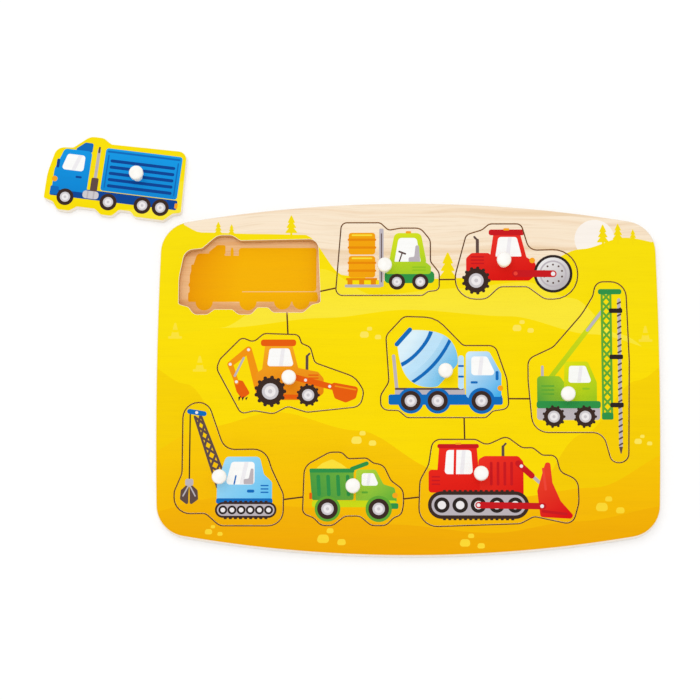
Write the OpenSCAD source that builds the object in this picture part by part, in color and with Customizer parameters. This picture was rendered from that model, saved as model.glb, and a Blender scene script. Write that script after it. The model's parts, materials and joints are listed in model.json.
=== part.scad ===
// Peg puzzle: a barrel shaped board with nine vehicle pieces that lift out by round pegs.
// Lengths are in millimetres. The origin is the middle of the board's underside, with +Z up,
// +X along the board and +Y to its far edge. One piece lies on the table, off the board's corner.

/* [Board] */
// Wood between the board's near edge, at its middle, and the near row of pockets
near_margin = 17; // [14:0.5:30]
// Wood between the near row of pockets and the middle row
near_web = 11.3; // [6:0.1:25]
// Wood between the middle row of pockets and the far row
far_web = 13; // [6:0.1:25]
// Wood between the far row of pockets and the board's far edge, at its middle
far_margin = 12.2; // [10:0.1:25]
// How far each long edge bows out at its middle
long_edge_bow = 14.3; // [8:0.1:20]
// How far each short edge bows out at its middle
short_edge_bow = 2.3; // [1:0.1:5]
// Radius of the board's four corners
corner_radius = 19.4; // [12:0.1:28]
// Radius of the rounding along the upper rim of the frame
rim_round = 1.6; // [0.5:0.1:3]
// Thickness of the backing sheet, the floor of the pockets
backing_thickness = 3; // [2:0.5:8]
// Thickness of the sheet that the frame and the pieces are sawn from
sheet_thickness = 6; // [5:0.5:12]
// Width of the saw cut round each piece and between the pockets
saw_kerf = 0.5; // [0.3:0.05:1]

/* [Pegs] */
// Diameter of a peg's head
peg_head_diameter = 8.6; // [7:0.1:12]
// Height of a peg above its piece
peg_height = 11; // [9:0.5:16]
// Thickness of a peg's head
peg_head_thickness = 5; // [4:0.1:6.5]
// How far the top of a peg's head domes up
peg_dome_height = 0.9; // [0.4:0.1:1.5]
// Diameter of a peg where it stands on its piece
peg_foot_diameter = 6.2; // [5.6:0.1:7]
// Diameter of a peg's waist, under its head
peg_waist_diameter = 4.6; // [3.5:0.1:5.5]
// Diameter of the shank that is glued into the piece
peg_shank_diameter = 4; // [3:0.1:5]
// Depth of the shank in the piece
peg_shank_depth = 4.5; // [3:0.1:4.8]
// Room for glue round the shank
glue_gap = 0.05; // [0.02:0.01:0.15]

/* [Container truck] */
// Length of the container truck
truck_length = 84.5; // [76:0.5:92]
// Height of the container truck
truck_height = 48; // [43:0.5:52]
// Wood between the board's left edge and the container truck's pocket
truck_margin = 13; // [10:0.1:25]
// Wood between the pockets of the container truck and the forklift
truck_web = 9.3; // [6:0.1:20]
// Turn of the container truck where it lies on the table, in degrees
truck_turn = -7.3; // [-15:0.1:0]

/* [Forklift] */
// Length of the forklift
forklift_length = 62; // [56:0.5:68]
// Height of the forklift
forklift_height = 44.5; // [40:0.5:49]
// Wood between the pockets of the forklift and the road roller
forklift_web = 9.8; // [6:0.1:20]

/* [Road roller] */
// Length of the road roller
roller_length = 73; // [66:0.5:80]
// Height of the road roller
roller_height = 46; // [41:0.5:50]
// Least wood between the pockets of the road roller and the drill rig
roller_web = 10.8; // [6:0.1:20]

/* [Drill rig] */
// Length of the drill rig
rig_length = 60; // [54:0.5:66]
// Height of the drill rig, with its mast
rig_height = 109; // [98:0.5:116]
// Wood between the drill rig's pocket and the board's right edge
rig_margin = 18.4; // [12:0.1:30]

/* [Backhoe loader] */
// Length of the backhoe loader
backhoe_length = 88; // [79:0.5:95]
// Height of the backhoe loader
backhoe_height = 48.5; // [44:0.5:53]
// Wood between the board's left edge and the backhoe loader's pocket
backhoe_margin = 36; // [20:0.5:50]
// Wood between the pockets of the backhoe loader and the mixer truck
backhoe_web = 10; // [6:0.1:20]

/* [Mixer truck] */
// Length of the mixer truck
mixer_length = 76; // [68:0.5:83]
// Height of the mixer truck
mixer_height = 61; // [55:0.5:66]
// Wood between the pockets of the mixer truck and the drill rig
mixer_web = 11.6; // [6:0.1:20]

/* [Crawler crane] */
// Length of the crawler crane
crane_length = 64.5; // [58:0.5:70]
// Height of the crawler crane, with its jib
crane_height = 73.5; // [66:0.5:79]
// Wood between the board's left edge and the crawler crane's pocket
crane_margin = 12; // [10:0.1:25]
// Wood between the pockets of the crawler crane and the dump truck
crane_web = 11.5; // [6:0.1:20]

/* [Dump truck] */
// Length of the dump truck
dump_length = 59.5; // [54:0.5:65]
// Height of the dump truck
dump_height = 43.5; // [39:0.5:48]
// Wood between the pockets of the dump truck and the bulldozer
dump_web = 8.8; // [6:0.1:20]

/* [Bulldozer] */
// Length of the bulldozer, with its blade
dozer_length = 94.5; // [85:0.5:101]
// Height of the bulldozer
dozer_height = 54; // [49:0.5:58]
// Least wood between the pockets of the bulldozer and the drill rig
dozer_web = 14.8; // [6:0.1:25]

/* [Hidden] */

// Angle that one straight step of a rounded corner spans, of the board's bowed edges, and of a peg's dome
arc_step = 15;
bow_step = 0.5;
dome_step = 4;
// Flat bands that make up the rounded rim
rim_bands = 3;
// Facets of a turned peg
peg_facets = 48;
// Points of an outline that are closer than this are one point
least_step = 0.02;
// How far a cut runs past the face that it opens
overrun = 1;

// How far the base of a pocket lies above, or below, that of the row's other pockets
crane_lift = 0.7;
dump_lift = 0.9;
backhoe_lift = 2.2;
truck_lift = -11.3;
roller_lift = -2.3;
// How far the middle of the drill rig's pocket lies beyond the middle of the board
rig_lift = 3.4;
// Wood beyond the lower pockets, where the far row is lower than the forklift
backhoe_web_above = 23.3;
truck_web_above = 20;
roller_web_above = 13;
// Lower right corner of the loose truck's box on the table, from the far left corner of the board's box
truck_rest = [12.3, -12.5];

// Peg of each piece, as shares of the piece's length and height
truck_peg_share = [0.65, 0.555];
forklift_peg_share = [0.475, 0.38];
roller_peg_share = [0.395, 0.485];
rig_peg_share = [0.385, 0.365];
backhoe_peg_share = [0.495, 0.425];
mixer_peg_share = [0.505, 0.44];
crane_peg_share = [0.42, 0.38];
dump_peg_share = [0.5, 0.515];
dozer_peg_share = [0.39, 0.57];

// Outlines of the pieces, clockwise from the lower left. Each corner is a share of the length,
// a share of the height and the corner's radius as a share of the height.

// Container truck: bonnet, cab with its wind deflector, container, then the wheels from the rear
truck_shares = [
    [0, 0.13, 0.03], [0, 0.46, 0.42], [0.04, 0.81, 0.13], [0.16, 0.83, 0.06],
    [0.27, 1, 0.15], [0.37, 1, 0.11], [0.43, 0.93, 0.06], [0.98, 0.95, 0.11],
    [1, 0.15, 0.03], [0.94, 0.125, 0.05], [0.88, 0.025, 0.06], [0.67, 0.025, 0.06],
    [0.635, 0.09, 0.05], [0.555, 0.09, 0.05], [0.51, 0, 0.07], [0.425, 0, 0.07],
    [0.38, 0.065, 0.05], [0.25, 0.065, 0.05], [0.2, 0, 0.07], [0.11, 0, 0.07],
    [0.07, 0.095, 0.05]];

// Forklift: load on the forks, mast, cab, counterweight
forklift_shares = [
    [0, 0, 0.09], [0.055, 1, 0.08], [0.43, 1, 0.07], [0.51, 0.895, 0.07],
    [0.63, 0.925, 0.11], [0.82, 0.925, 0.13], [0.915, 0.76, 0.13], [0.915, 0.465, 0.09],
    [1, 0.31, 0.1], [1, 0.07, 0.07], [0.895, 0.055, 0.05], [0.84, 0, 0.07]];

// Road roller: rear wheel, exhaust, cab, drum, belly
roller_shares = [
    [0, 0, 0.26], [0, 0.32, 0.17], [0.09, 0.855, 0.09], [0.22, 0.92, 0.11],
    [0.28, 1, 0.09], [0.54, 1, 0.08], [0.605, 0.645, 0.14], [1, 0.665, 0.315],
    [1, 0, 0.315], [0.73, 0, 0.14], [0.59, 0.165, 0.1], [0.36, 0.165, 0.12],
    [0.25, 0, 0.16]];

// Drill rig: rear, engine deck, stay, mast head, drill string, wheels
rig_shares = [
    [0.045, 0.165, 0.09], [0, 0.45, 0.18], [0, 0.57, 0.055], [0.25, 0.635, 0.08],
    [0.54, 0.82, 0.2], [0.65, 0.92, 0.06], [0.68, 1, 0.05], [0.975, 1, 0.085],
    [1, 0.56, 0.37], [0.98, 0, 0.05], [0.815, 0, 0.045], [0.735, 0.165, 0.075]];

// Backhoe loader: digging arm, cab roof, bonnet, loader arm and bucket, wheels
backhoe_shares = [
    [0.17, 0, 0.08], [0, 0.565, 0.12], [0.025, 0.68, 0.07], [0.17, 0.95, 0.07],
    [0.25, 0.89, 0.09], [0.32, 1, 0.09], [0.555, 0.985, 0.07], [0.575, 0.875, 0.05],
    [0.635, 0.83, 0.08], [0.665, 0.635, 0.08], [0.94, 0.455, 0.25], [1, 0.28, 0.14],
    [0.975, 0.09, 0.12], [0.615, 0.02, 0.14], [0.485, 0.095, 0.1], [0.39, 0, 0.12],
    [0.26, 0.04, 0.12]];

// Mixer truck: tail, chute, drum, cab, bumper, wheels
mixer_shares = [
    [0, 0.075, 0.075], [0, 0.22, 0.09], [0.065, 0.35, 0.1], [0.04, 0.81, 0.1],
    [0.18, 1, 0.08], [0.43, 0.99, 0.26], [0.645, 0.71, 0.065], [0.895, 0.71, 0.08],
    [0.985, 0.38, 0.2], [1, 0.09, 0.065], [0.875, 0.065, 0.05], [0.82, 0, 0.05],
    [0.205, 0, 0.05], [0.14, 0.07, 0.05]];

// Crawler crane: jib head, cab, engine, track, hanging grab
crane_shares = [
    [0.07, 1, 0.13], [0.3, 1, 0.11], [0.455, 0.615, 0.12], [0.83, 0.62, 0.13],
    [0.89, 0.46, 0.22], [1, 0.255, 0.09], [1, 0, 0.12], [0.42, 0, 0.08],
    [0.29, 0.1, 0.06], [0, 0.095, 0.13], [0, 0.275, 0.09], [0.07, 0.42, 0.12]];

// Dump truck: tailgate, load, cab shield, cab, bonnet, wheels
dump_shares = [
    [0, 0.165, 0.09], [0.015, 0.81, 0.18], [0.265, 1, 0.16], [0.385, 1, 0.1],
    [0.45, 0.91, 0.07], [0.635, 0.92, 0.08], [0.7, 0.85, 0.08], [0.8, 0.825, 0.13],
    [0.875, 0.61, 0.13], [0.995, 0.49, 0.14], [1, 0.3, 0.25], [0.98, 0.15, 0.1],
    [0.9, 0.105, 0.09], [0.825, 0, 0.13], [0.68, 0, 0.13], [0.57, 0.13, 0.13],
    [0.42, 0.13, 0.13], [0.3, 0, 0.13], [0.185, 0, 0.13], [0.11, 0.105, 0.1]];

// Bulldozer: rear, cab, bonnet and stack, lift arm, blade, track
dozer_shares = [
    [0, 0, 0.2], [0.01, 0.51, 0.16], [0.065, 0.685, 0.13], [0.09, 0.965, 0.1],
    [0.36, 0.965, 0.09], [0.425, 0.9, 0.11], [0.55, 1, 0.09], [0.65, 0.87, 0.11],
    [0.715, 0.875, 0.07], [0.775, 0.79, 0.07], [0.86, 0.79, 0.075], [0.885, 0.605, 0.11],
    [0.995, 0.52, 0.13], [1, 0.27, 0.3], [0.96, 0.03, 0.1], [0.72, 0.12, 0.09],
    [0.635, 0.04, 0.11]];

// Ends of the saw cuts that link the pockets, as shares of the box of the piece at that end
truck_to_forklift_shares = [[0.985, 0.28], [0.02, 0.105]];
truck_to_backhoe_shares = [[0.766, 0.045], [0.483, 0.98]];
forklift_to_roller_shares = [[0.98, 0.215], [0.015, 0.26]];
mixer_to_rig_shares = [[0.99, 0.185], [0.02, 0.35]];
mixer_to_dozer_shares = [[0.65, 0.015], [0.29, 0.95]];
crane_to_dump_shares = [[0.99, 0.21], [0.02, 0.39]];
dump_to_dozer_shares = [[0.985, 0.36], [0.015, 0.33]];

// Heights and roundings of a peg's profile, as shares of the stretch or radius that they follow
waist_height_share = 0.6;
waist_round_share = 0.8;
lip_round_share = 0.25;
brow_round_share = 0.35;
dome_start_share = 0.6;

truck_size = [truck_length, truck_height];
forklift_size = [forklift_length, forklift_height];
roller_size = [roller_length, roller_height];
rig_size = [rig_length, rig_height];
backhoe_size = [backhoe_length, backhoe_height];
mixer_size = [mixer_length, mixer_height];
crane_size = [crane_length, crane_height];
dump_size = [dump_length, dump_height];
dozer_size = [dozer_length, dozer_height];

// Lower left corner of each piece's box, from the near left corner of the board's box. The rows are
// set out from the left edge and from the near edge, each pocket clear of its neighbours by a web.
crane_corner = [crane_margin, near_margin + crane_lift];
dump_corner = [crane_corner.x + crane_length + crane_web, near_margin + dump_lift];
dozer_corner = [dump_corner.x + dump_length + dump_web, near_margin];
middle_row = near_margin + dozer_height + near_web;
backhoe_corner = [backhoe_margin, middle_row + backhoe_lift];
mixer_corner = [backhoe_corner.x + backhoe_length + backhoe_web, middle_row];
far_row = max(middle_row + mixer_height + far_web, backhoe_corner.y + backhoe_height + backhoe_web_above);
truck_corner = [truck_margin, far_row + truck_lift];
forklift_corner = [truck_corner.x + truck_length + truck_web, far_row];
roller_corner = [forklift_corner.x + forklift_length + forklift_web, far_row + roller_lift];

// The mast of the drill rig stands clear of the road roller, its drill string of the bulldozer,
// and its cab of the mixer truck. The board is as long and as wide as its pieces need.
mast_share = rig_shares[6].x;
string_share = rig_shares[11].x;
rig_left = max(mixer_corner.x + mixer_length + mixer_web,
               roller_corner.x + roller_length + roller_web - mast_share * rig_length,
               dozer_corner.x + dozer_length + dozer_web - string_share * rig_length);
board_length = rig_left + rig_length + rig_margin;
board_width = max(forklift_corner.y + forklift_height + far_margin,
                  truck_corner.y + truck_height + truck_web_above,
                  roller_corner.y + roller_height + roller_web_above);
rig_corner = [rig_left, board_width / 2 + rig_lift - rig_height / 2];
board_size = [board_length, board_width];

// Length 1 along v
function unit(v) = v / norm(v);

// The point that lies at the given shares of a box
function at_share(share, size) = [share.x * size.x, share.y * size.y];

// Angle between the two edges that meet at p
function bend(before, p, after) = acos(unit(before - p) * unit(after - p));

// The points without those that fall on the next one
function spaced(points) = let (n = len(points))
    [for (i = [0 : n - 1]) if (norm(points[(i + 1) % n] - points[i]) > least_step) points[i]];

// Outline through corners of [x, y, radius], each rounded by an arc. Where two arcs
// want more than the edge between them, they share it.
function rounded(corners) =
    let (n = len(corners),
         p = [for (c = corners) [c.x, c.y]],
         angle = [for (i = [0 : n - 1]) bend(p[(i + n - 1) % n], p[i], p[(i + 1) % n])],
         wish = [for (i = [0 : n - 1]) corners[i].z / tan(angle[i] / 2)],
         room = [for (i = [0 : n - 1])
             let (next = (i + 1) % n, asked = wish[i] + wish[next], edge = norm(p[next] - p[i]))
             asked > edge ? edge / asked : 1])
    spaced([for (i = [0 : n - 1])
        let (reach = wish[i] * min(room[i], room[(i + n - 1) % n]),
             radius = reach * tan(angle[i] / 2),
             u = unit(p[(i + n - 1) % n] - p[i]),
             v = unit(p[(i + 1) % n] - p[i]),
             centre = p[i] + unit(u + v) * radius / sin(angle[i] / 2),
             first = p[i] + u * reach - centre,
             start = atan2(first.y, first.x),
             sweep = (180 - angle[i]) * sign(u.y * v.x - u.x * v.y),
             steps = radius > 0 ? ceil((180 - angle[i]) / arc_step) : 0)
        for (k = [0 : steps])
            let (turn = start + sweep * k / max(steps, 1))
            centre + radius * [cos(turn), sin(turn)]]);

// The clockwise outline with every edge moved outward by out
function moved(points, out) = let (n = len(points))
    [for (i = [0 : n - 1])
        let (a = unit(points[i] - points[(i + n - 1) % n]),
             b = unit(points[(i + 1) % n] - points[i]),
             na = [-a.y, a.x],
             nb = [-b.y, b.x])
        points[i] + out * (na + nb) / (1 + na * nb)];

// Middle line of the saw cut round a piece, in the piece's own box
function cut_line(shares, size) =
    rounded([for (s = shares) [s.x * size.x, s.y * size.y, s.z * size.y]]);

// Radius of an edge that bows out by bow over its half length
function bow_radius(half, bow) = (half * half + bow * bow) / (2 * bow);

// Where two circles of radius ra and rb about a and b cross, on the left of the way from a to b
function crossing(a, ra, b, rb) =
    let (d = norm(b - a),
         along = unit(b - a),
         k = (ra * ra - rb * rb + d * d) / (2 * d))
    a + k * along + sqrt(ra * ra - k * k) * [-along.y, along.x];

// Points of an arc about centre, from one angle to another
function arc(centre, radius, from, to, step) =
    let (steps = ceil(abs(to - from) / step))
    [for (k = [0 : steps])
        let (turn = from + (to - from) * k / steps)
        centre + radius * [cos(turn), sin(turn)]];

// A quarter of the board's edge, from the middle of the far edge to the middle of the right edge:
// two bowed edges and a corner that runs into both
function board_quarter() =
    let (half = board_size / 2,
         long_radius = bow_radius(half.x, long_edge_bow),
         short_radius = bow_radius(half.y, short_edge_bow),
         long_centre = [0, half.y - long_radius],
         short_centre = [half.x - short_radius, 0],
         middle = crossing(short_centre, short_radius - corner_radius,
                           long_centre, long_radius - corner_radius),
         from_long = middle - long_centre,
         from_short = middle - short_centre,
         long_end = atan2(from_long.y, from_long.x),
         short_end = atan2(from_short.y, from_short.x))
    concat(arc(long_centre, long_radius, 90, long_end, bow_step),
           arc(middle, corner_radius, long_end, short_end, arc_step / 2),
           arc(short_centre, short_radius, short_end, 0, bow_step));

function backward(points) = [for (i = [len(points) - 1 : -1 : 0]) points[i]];

function mirrored(points, sx, sy) = [for (p = points) [sx * p.x, sy * p.y]];

function board_edge() = let (quarter = board_quarter())
    spaced(concat(quarter, backward(mirrored(quarter, 1, -1)),
                  mirrored(quarter, -1, -1), backward(mirrored(quarter, -1, 1))));

// Sheet with the board's outline, whose upper rim is rounded in bands
module rounded_sheet() {
    edge = board_edge();
    n = len(edge);
    rim = [for (k = [0 : rim_bands])
        let (tilt = 90 * k / rim_bands)
        [-rim_round * (1 - cos(tilt)), sheet_thickness - rim_round * (1 - sin(tilt))]];
    levels = concat([[0, 0]], rim);
    points = [for (level = levels) for (p = moved(edge, level.x)) [p.x, p.y, level.y]];
    under = [for (i = [n - 1 : -1 : 0]) i];
    top = [for (i = [0 : n - 1]) len(rim) * n + i];
    sides = [for (k = [0 : len(rim) - 1]) for (i = [0 : n - 1])
        let (j = (i + 1) % n)
        [k * n + i, k * n + j, (k + 1) * n + j, (k + 1) * n + i]];
    polyhedron(points, concat([under], sides, [top]));
}

// Hole in the frame that holds one piece
module pocket(corner, size, shares)
    translate(corner - board_size / 2) polygon(moved(cut_line(shares, size), saw_kerf / 2));

// Saw cut from the pocket of one piece to the pocket of another
module link(from_corner, from_size, to_corner, to_size, end_shares) {
    from = from_corner + at_share(end_shares[0], from_size);
    to = to_corner + at_share(end_shares[1], to_size);
    way = to - from;
    translate(from - board_size / 2) rotate(atan2(way.y, way.x))
        translate([0, -saw_kerf / 2]) square([norm(way), saw_kerf]);
}

// One piece in its own box, its underside at height zero, with the hole for its peg
module piece(size, shares, peg_share) {
    peg = at_share(peg_share, size);
    difference() {
        linear_extrude(sheet_thickness) polygon(moved(cut_line(shares, size), -saw_kerf / 2));
        translate([peg.x, peg.y, sheet_thickness - peg_shank_depth])
            cylinder(d = peg_shank_diameter + 2 * glue_gap, h = peg_shank_depth + overrun, $fn = peg_facets);
    }
}

// Turned peg in the box of its piece: shank, flared foot, waist, and a head with a shallow dome
module peg(size, peg_share) {
    place = at_share(peg_share, size);
    head_radius = peg_head_diameter / 2;
    stem = peg_height - peg_head_thickness;
    dome_radius = bow_radius(head_radius, peg_dome_height);
    dome_start = acos(dome_start_share * head_radius / dome_radius);
    dome = arc([0, peg_height - dome_radius], dome_radius, dome_start, 90, dome_step);
    profile = concat(
        [[0, -peg_shank_depth, 0], [peg_shank_diameter / 2, -peg_shank_depth, 0],
         [peg_shank_diameter / 2, 0, 0], [peg_foot_diameter / 2, 0, 0],
         [peg_waist_diameter / 2, stem * waist_height_share, stem * waist_round_share],
         [head_radius, stem, head_radius * lip_round_share],
         [head_radius, peg_height - peg_dome_height, head_radius * brow_round_share]],
        [for (p = dome) [p.x, p.y, 0]]);
    translate([place.x, place.y, sheet_thickness])
        rotate_extrude($fn = peg_facets) polygon(rounded(profile));
}

// Puts a piece, or its peg, in its pocket on the backing
module in_pocket(corner) {
    at = corner - board_size / 2;
    translate([at.x, at.y, backing_thickness]) children();
}

// Lays the truck, or its peg, on the table off the board's far left corner
module on_table() {
    at = truck_rest + [-board_size.x, board_size.y] / 2;
    translate([at.x, at.y, 0]) rotate(truck_turn) translate([-truck_length, 0, 0]) children();
}

module backing_board()
    color("tan") linear_extrude(backing_thickness) polygon(board_edge());

module puzzle_frame()
    color("gold") translate([0, 0, backing_thickness]) difference() {
        rounded_sheet();
        translate([0, 0, -overrun]) linear_extrude(sheet_thickness + 2 * overrun) pockets();
    }

// All that is sawn out of the frame: the pockets and the saw cuts that link them
module pockets() {
    pocket(truck_corner, truck_size, truck_shares);
    pocket(forklift_corner, forklift_size, forklift_shares);
    pocket(roller_corner, roller_size, roller_shares);
    pocket(rig_corner, rig_size, rig_shares);
    pocket(backhoe_corner, backhoe_size, backhoe_shares);
    pocket(mixer_corner, mixer_size, mixer_shares);
    pocket(crane_corner, crane_size, crane_shares);
    pocket(dump_corner, dump_size, dump_shares);
    pocket(dozer_corner, dozer_size, dozer_shares);
    link(truck_corner, truck_size, forklift_corner, forklift_size, truck_to_forklift_shares);
    link(truck_corner, truck_size, backhoe_corner, backhoe_size, truck_to_backhoe_shares);
    link(forklift_corner, forklift_size, roller_corner, roller_size, forklift_to_roller_shares);
    link(mixer_corner, mixer_size, rig_corner, rig_size, mixer_to_rig_shares);
    link(mixer_corner, mixer_size, dozer_corner, dozer_size, mixer_to_dozer_shares);
    link(crane_corner, crane_size, dump_corner, dump_size, crane_to_dump_shares);
    link(dump_corner, dump_size, dozer_corner, dozer_size, dump_to_dozer_shares);
}

module container_truck()
    color("royalblue") on_table() piece(truck_size, truck_shares, truck_peg_share);

module forklift()
    color("yellowgreen") in_pocket(forklift_corner)
        piece(forklift_size, forklift_shares, forklift_peg_share);

module road_roller()
    color("crimson") in_pocket(roller_corner)
        piece(roller_size, roller_shares, roller_peg_share);

module drill_rig()
    color("limegreen") in_pocket(rig_corner)
        piece(rig_size, rig_shares, rig_peg_share);

module backhoe_loader()
    color("darkorange") in_pocket(backhoe_corner)
        piece(backhoe_size, backhoe_shares, backhoe_peg_share);

module mixer_truck()
    color("deepskyblue") in_pocket(mixer_corner)
        piece(mixer_size, mixer_shares, mixer_peg_share);

module crawler_crane()
    color("skyblue") in_pocket(crane_corner)
        piece(crane_size, crane_shares, crane_peg_share);

module dump_truck()
    color("forestgreen") in_pocket(dump_corner)
        piece(dump_size, dump_shares, dump_peg_share);

module bulldozer()
    color("red") in_pocket(dozer_corner)
        piece(dozer_size, dozer_shares, dozer_peg_share);

module container_truck_peg()
    color("white") on_table() peg(truck_size, truck_peg_share);

module forklift_peg()
    color("white") in_pocket(forklift_corner) peg(forklift_size, forklift_peg_share);

module road_roller_peg()
    color("white") in_pocket(roller_corner) peg(roller_size, roller_peg_share);

module drill_rig_peg()
    color("white") in_pocket(rig_corner) peg(rig_size, rig_peg_share);

module backhoe_loader_peg()
    color("white") in_pocket(backhoe_corner) peg(backhoe_size, backhoe_peg_share);

module mixer_truck_peg()
    color("white") in_pocket(mixer_corner) peg(mixer_size, mixer_peg_share);

module crawler_crane_peg()
    color("white") in_pocket(crane_corner) peg(crane_size, crane_peg_share);

module dump_truck_peg()
    color("white") in_pocket(dump_corner) peg(dump_size, dump_peg_share);

module bulldozer_peg()
    color("white") in_pocket(dozer_corner) peg(dozer_size, dozer_peg_share);

backing_board();
puzzle_frame();
container_truck();
forklift();
road_roller();
drill_rig();
backhoe_loader();
mixer_truck();
crawler_crane();
dump_truck();
bulldozer();
container_truck_peg();
forklift_peg();
road_roller_peg();
drill_rig_peg();
backhoe_loader_peg();
mixer_truck_peg();
crawler_crane_peg();
dump_truck_peg();
bulldozer_peg();
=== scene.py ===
"""Looks of the peg puzzle: printed and sawn wooden sheets with painted pegs, on a white studio table.

The drawing of the print is in millimetres, in the board's frame: the origin is the middle of the board,
+X runs along it and +Y to its far edge. A vehicle is drawn from the lower left corner of its own box.
"""

import json
import math
from collections import namedtuple

import bpy
import numpy as np
from mathutils import Matrix, Vector
from mathutils.geometry import delaunay_2d_cdt


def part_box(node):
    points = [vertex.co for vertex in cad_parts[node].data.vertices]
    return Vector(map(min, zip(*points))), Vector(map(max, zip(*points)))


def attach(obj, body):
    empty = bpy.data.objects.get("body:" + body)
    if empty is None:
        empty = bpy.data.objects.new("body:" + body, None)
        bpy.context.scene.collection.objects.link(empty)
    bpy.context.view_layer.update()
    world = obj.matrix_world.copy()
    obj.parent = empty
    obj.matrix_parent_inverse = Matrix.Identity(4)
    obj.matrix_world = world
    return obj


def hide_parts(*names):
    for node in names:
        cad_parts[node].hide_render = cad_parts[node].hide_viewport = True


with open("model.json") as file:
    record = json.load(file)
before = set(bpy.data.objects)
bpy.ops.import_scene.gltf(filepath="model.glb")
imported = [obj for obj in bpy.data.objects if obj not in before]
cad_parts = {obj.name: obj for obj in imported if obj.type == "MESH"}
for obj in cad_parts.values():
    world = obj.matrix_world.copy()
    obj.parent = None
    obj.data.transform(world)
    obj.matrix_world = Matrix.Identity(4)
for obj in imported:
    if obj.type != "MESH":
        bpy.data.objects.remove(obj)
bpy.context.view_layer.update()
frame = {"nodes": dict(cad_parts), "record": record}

# Sizes, in millimetres unless the name says otherwise. Those that show in the frame are read from it
MM = 0.001
SHEET_BOTTOM, SHEET_TOP = (round(corner.z / MM, 3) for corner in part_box("puzzle_frame"))
peg_low, peg_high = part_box("forklift_peg")
PEG_HEAD = round((peg_high.x - peg_low.x) / MM, 3)
PEG_HOLE_DEPTH = SHEET_TOP - round(peg_low.z / MM, 3)
SAW_KERF = 0.5
RIM_ROUND = 1.6
SAWN_ROUND = 0.22

# Heights this near are level, and places this near are one
FLAT = 1e-3
NEAR = 1e-6

# Steps of rounded edges and arcs, and the angle past which an edge is sharp
RIM_BANDS = 6
PRINTED_RIM_BANDS = 3
SAWN_BANDS = 2
ARC_STEP = math.radians(12)
SHARP_ANGLE = math.radians(35)

# The truck that lies on the table: the corner of its pocket on the board, and its turn there
TRUCK = "container_truck"
TRUCK_HOME = (-137.0, 38.5)
TRUCK_TURN = math.radians(-7.3)

# Heights of the layers: three in the backing, three in the sheet
PLY_LEVELS = (0.0, 1.0, 2.0, SHEET_BOTTOM, 4.6, 7.0, SHEET_TOP)

# How far a glue line fades into the layer above it and the one below
GLUE_ABOVE = 0.12
GLUE_BELOW = 0.05

# Drawings under the pieces are printed this far to the right, with the gap behind the truck's cab filled
UNDERPRINT_SHIFT = 1.5
TRUCK_GAP = (24, 11, 36, 37)

# Print inks
INKS = {
    "tyre": "3b2a24", "rim": "cfcace", "hub": "efebec", "glass": "fcfcfa", "glare": "efedf0",
    "lamp": "f7a51b", "steel": "bcb4ba", "dark_steel": "5f4a45", "black": "2d2422",
    "cobalt": "0f6bbb", "navy": "0c4594", "pale_sky": "bfe4fa",
    "lime": "cbdb15", "leaf": "92c423", "green": "60a835", "deep_green": "2f9248",
    "deep_red": "c8191f", "bright_red": "ee4536",
    "orange": "f2930f", "deep_orange": "e75d0a", "drum": "f3a408", "hoop": "e88a04", "sand": "fbe03a",
    "road": "fbe23c", "stone": "fde65c", "pale_stone": "fcd934", "tree": "f6dc08", "sun": "fbf3ea",
}

# Grounds of the print: colours at two places on the board
GROUNDS = {
    "far_ground": ("f8e008", "f9df04", (0, 105), (0, 40)),
    "pale_field": ("fae524", "fbe736", (0, 70), (0, 40)),
    "middle_ground": ("fbdf02", "fbdb00", (0, 40), (0, -40)),
    "side_ground": ("f7d300", "f6cc00", (0, 10), (0, -50)),
    "hill_ground": ("f9cf00", "f6ba00", (0, -20), (0, -80)),
    "near_ground": ("f5ba00", "f1a900", (0, -60), (0, -104)),
    # The orange underprint grows darker towards the left wall of the truck's pocket: painted shade
    "underprint": ("f0a000", "f8b500", (-130, 62), (-102, 56)),
}

# Bare wood: pale, dark and grain line. Layered edges: two layers and the glue line
WOODS = {
    "sheet_wood": ("f9e7cd", "f4dcbe", "ebcfaa"),
    "back_wood": ("f5c68f", "efb87b", "e1a567"),
}
EDGES = {
    "pale_edge": ("fffaf0", "fdf1df", "f3e0c2"),
    # Tan sides of the pockets, cuts and peg holes: ply layers, darker than the pale sides of the pieces as
    # painted shade
    "pocket_edge": ("d8a66a", "c99659", "a87541"),
    # Dark brown rim: painted shade for the narrow cuts between the board and its pieces
    "sawn_edge": ("8f5f35", "7d512c", "664224"),
}

# Shaded inks of the vehicles: colours at two places in the vehicle's own box
SHADES = {
    "truck_blue": ("container_truck", "149ce8", "0982d0", (40, 44), (40, 8)),
    "cab_lime": ("forklift", "d7e31c", "9fcb27", (40, 38), (46, 12)),
    "roller_red": ("road_roller", "ec3327", "da130f", (20, 40), (26, 11)),
    "roller_drum": ("road_roller", "efedec", "b5afb3", (52, 24), (65, 7)),
    "engine_green": ("drill_rig", "4f9f3b", "a5cd22", (6, 36), (22, 50)),
    "rig_lime": ("drill_rig", "dde112", "98c61d", (24, 60), (40, 36)),
    "boom_lime": ("drill_rig", "b3d01a", "d3db18", (12, 50), (43, 90)),
    "hoe_orange": ("backhoe_loader", "f7a920", "e8810a", (40, 42), (44, 8)),
    "drum_sky": ("mixer_truck", "ddf2fb", "5cbdee", (15, 42), (42, 24)),
    "mixer_cab": ("mixer_truck", "d3edfb", "45b0ea", (50, 38), (72, 16)),
    "crane_sky": ("crawler_crane", "a3dcf8", "5cc0f1", (30, 40), (56, 14)),
    "tub_green": ("dump_truck", "3f9440", "73b53c", (5, 15), (29, 34)),
    "cab_green": ("dump_truck", "b0d53c", "5fae37", (36, 33), (52, 13)),
    "dozer_red": ("bulldozer", "ee2c1d", "df1811", (20, 48), (24, 18)),
    "hood_red": ("bulldozer", "ee3223", "dc1713", (38, 42), (58, 17)),
    "blade_red": ("bulldozer", "ea3f26", "dd0f15", (72, 30), (86, 6)),
}


# Flat outlines

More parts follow.
